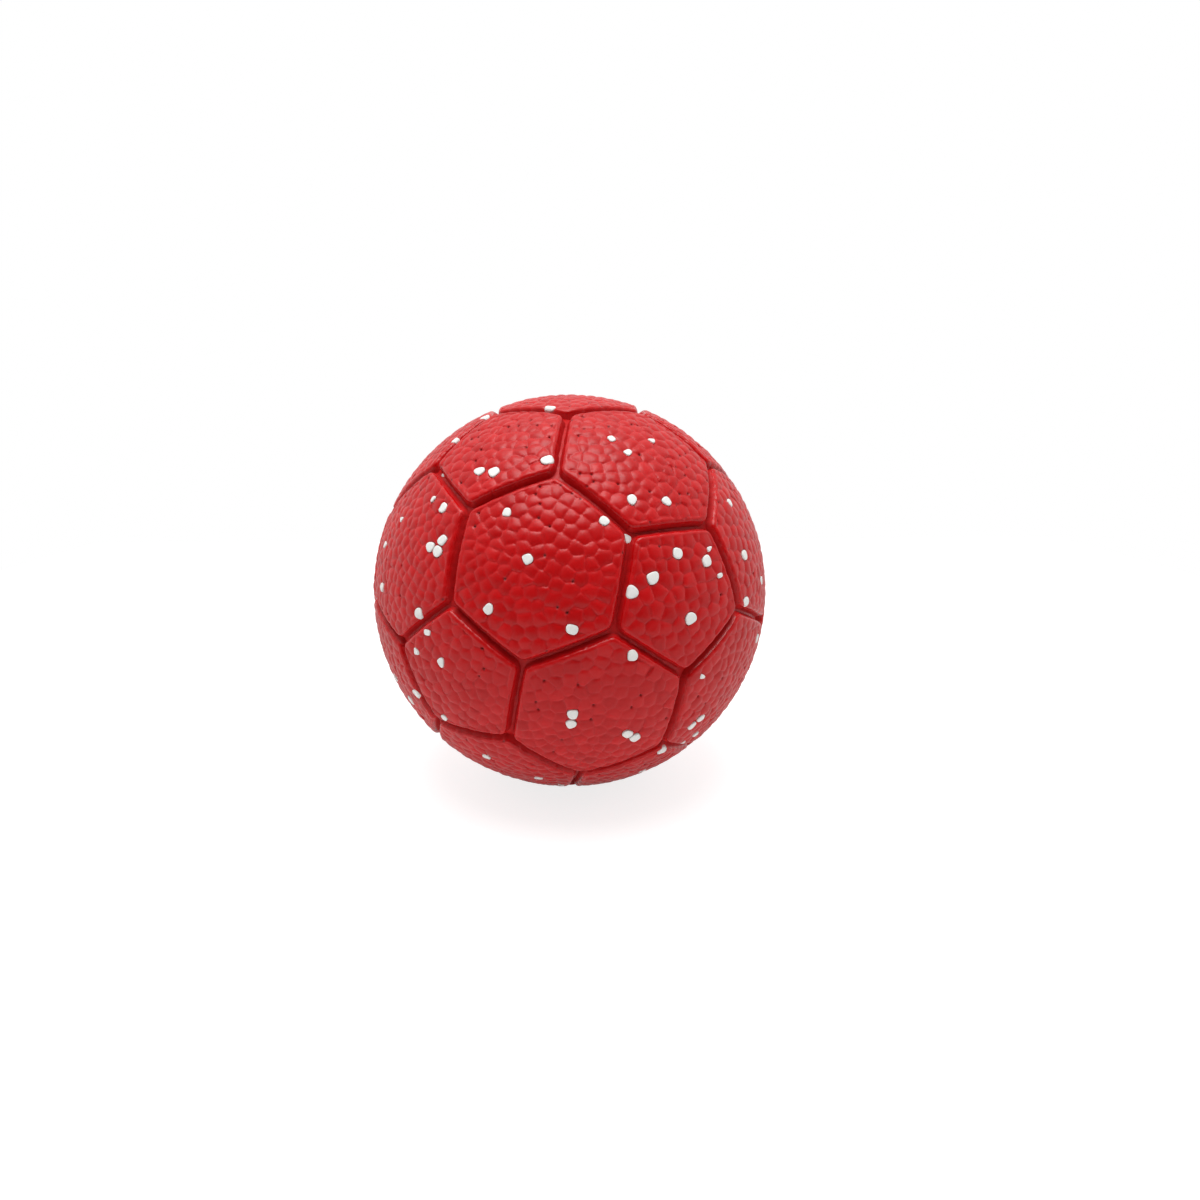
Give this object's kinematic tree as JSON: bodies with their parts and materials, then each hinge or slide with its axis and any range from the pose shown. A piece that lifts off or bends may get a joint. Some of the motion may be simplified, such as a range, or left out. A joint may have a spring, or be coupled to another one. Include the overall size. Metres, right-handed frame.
{
  "type": "dog ball",
  "caption": "Round dog ball of moulded bead foam with raised football panels, grooves between them and white beads scattered in the red foam.",
  "frame": {"origin": "middle of the ball", "axes": "+Z out through the middle of the top hexagon, +X under an upper pentagon, the side that faces the camera towards -Y"},
  "size_m": [0.09, 0.09, 0.09],
  "materials": {
    "red_foam_core": "smooth moulded skin of red bead foam, satin, seen as the floor of the grooves",
    "red_foam_panels": "moulded skin of fused red foam beads, satin, each bead a shallow pillow",
    "white_foam_beads": "fused white foam beads, satin, flush with the panel faces"
  },
  "bodies": {
    "root": {"core": "red_foam_core", "hexagon_1": "red_foam_panels", "hexagon_2": "red_foam_panels", "hexagon_3": "red_foam_panels", "hexagon_4": "red_foam_panels", "hexagon_5": "red_foam_panels", "hexagon_6": "red_foam_panels", "hexagon_7": "red_foam_panels", "hexagon_8": "red_foam_panels", "hexagon_9": "red_foam_panels", "hexagon_10": "red_foam_panels", "hexagon_11": "red_foam_panels", "hexagon_12": "red_foam_panels", "hexagon_13": "red_foam_panels", "hexagon_14": "red_foam_panels", "hexagon_15": "red_foam_panels", "hexagon_16": "red_foam_panels", "hexagon_17": "red_foam_panels", "hexagon_18": "red_foam_panels", "hexagon_19": "red_foam_panels", "hexagon_20": "red_foam_panels", "pentagon_1": "red_foam_panels", "pentagon_2": "red_foam_panels", "pentagon_3": "red_foam_panels", "pentagon_4": "red_foam_panels", "pentagon_5": "red_foam_panels", "pentagon_6": "red_foam_panels", "pentagon_7": "red_foam_panels", "pentagon_8": "red_foam_panels", "pentagon_9": "red_foam_panels", "pentagon_10": "red_foam_panels", "pentagon_11": "red_foam_panels", "pentagon_12": "red_foam_panels", "white_beads_upper_hexagons": "white_foam_beads", "white_beads_lower_hexagons": "white_foam_beads", "white_beads_upper_pentagons": "white_foam_beads", "white_beads_lower_pentagons": "white_foam_beads", "white_beads_grooves": "white_foam_beads"}
  },
  "joints": []
}
